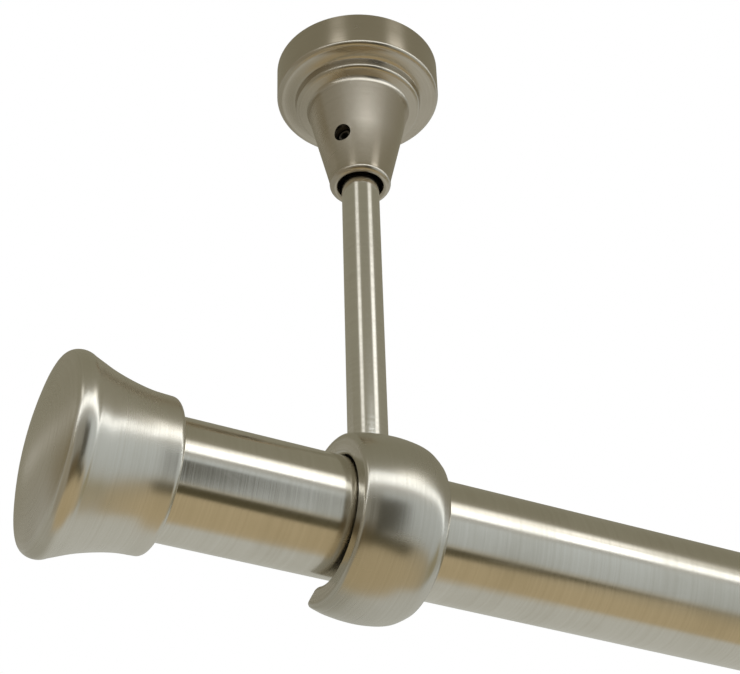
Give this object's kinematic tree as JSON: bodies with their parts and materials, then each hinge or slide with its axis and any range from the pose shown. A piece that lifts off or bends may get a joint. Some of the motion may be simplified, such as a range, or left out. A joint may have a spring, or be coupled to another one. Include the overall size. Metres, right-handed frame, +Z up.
{
  "type": "curtain rod with ceiling brackets",
  "caption": "Round metal curtain rod hung below a ceiling on stem brackets with stepped rosettes, C-shaped rod rings and flared end caps.",
  "frame": {"origin": "centre of the left bracket's ceiling plate, on the ceiling plane", "axes": "+X along the rod towards the right bracket, +Z up into the ceiling, -Y towards the room"},
  "size_m": [1.2168, 0.0456, 0.1668],
  "materials": {
    "nickel_tube": "satin nickel plate over steel tube, fine brushing round the tube",
    "nickel_stem": "satin nickel plate over turned steel bar",
    "nickel_rosette": "satin nickel plate over a turned cover",
    "nickel_ring": "satin nickel plate over a turned ring",
    "nickel_finial": "satin nickel plate over a turned cap",
    "zinc_steel": "zinc-plated steel",
    "screw_steel": "plain bright steel",
    "black_steel": "black oxide steel",
    "black_plastic": "moulded black plastic"
  },
  "bodies": {
    "brackets": {"ceiling_plate_left": "zinc_steel", "ceiling_plate_right": "zinc_steel", "stem_stud_left": "screw_steel", "stem_stud_right": "screw_steel", "stem_left": "nickel_stem", "stem_right": "nickel_stem", "rod_ring_left": "nickel_ring", "rod_ring_right": "nickel_ring", "ring_screw_left": "screw_steel", "ring_screw_right": "screw_steel"},
    "rod": {"tube": "nickel_tube"},
    "finial_left": {"finial_shell_left": "nickel_finial", "finial_plug_left": "black_plastic", "finial_screw_left": "screw_steel"},
    "finial_right": {"finial_shell_right": "nickel_finial", "finial_plug_right": "black_plastic", "finial_screw_right": "screw_steel"},
    "rosette_left": {"rosette_left": "nickel_rosette"},
    "rosette_right": {"rosette_right": "nickel_rosette"},
    "rosette_screw_left": {"rosette_grub_screw_left": "black_steel"},
    "rosette_screw_right": {"rosette_grub_screw_right": "black_steel"},
    "clamp_screw_left": {"clamp_grub_screw_left": "black_steel"},
    "clamp_screw_right": {"clamp_grub_screw_right": "black_steel"}
  },
  "joints": [
    {"name": "rod_slide", "type": "slide", "parent": "brackets", "child": "rod", "axis": [1, 0, 0], "range_m": [-0.038, 0.039]},
    {"name": "finial_left_pull", "type": "slide", "parent": "rod", "child": "finial_left", "axis": [-1, 0, 0], "range_m": [0, 0.03]},
    {"name": "finial_right_pull", "type": "slide", "parent": "rod", "child": "finial_right", "axis": [1, 0, 0], "range_m": [0, 0.03]},
    {"name": "rosette_left_slide", "type": "slide", "parent": "brackets", "child": "rosette_left", "axis": [0, 0, -1], "range_m": [0, 0.075]},
    {"name": "rosette_right_slide", "type": "slide", "parent": "brackets", "child": "rosette_right", "axis": [0, 0, -1], "range_m": [0, 0.075]},
    {"name": "rosette_screw_left_turn_out", "type": "slide", "parent": "rosette_left", "child": "rosette_screw_left", "axis": [-0.7912, -0.6115, 0], "range_m": [0, 0.003]},
    {"name": "rosette_screw_right_turn_out", "type": "slide", "parent": "rosette_right", "child": "rosette_screw_right", "axis": [-0.7912, -0.6115, 0], "range_m": [0, 0.003]},
    {"name": "clamp_screw_left_turn_out", "type": "slide", "parent": "brackets", "child": "clamp_screw_left", "axis": [0, 0.5592, 0.829], "range_m": [0, 0.003]},
    {"name": "clamp_screw_right_turn_out", "type": "slide", "parent": "brackets", "child": "clamp_screw_right", "axis": [0, 0.5592, 0.829], "range_m": [0, 0.003]}
  ]
}
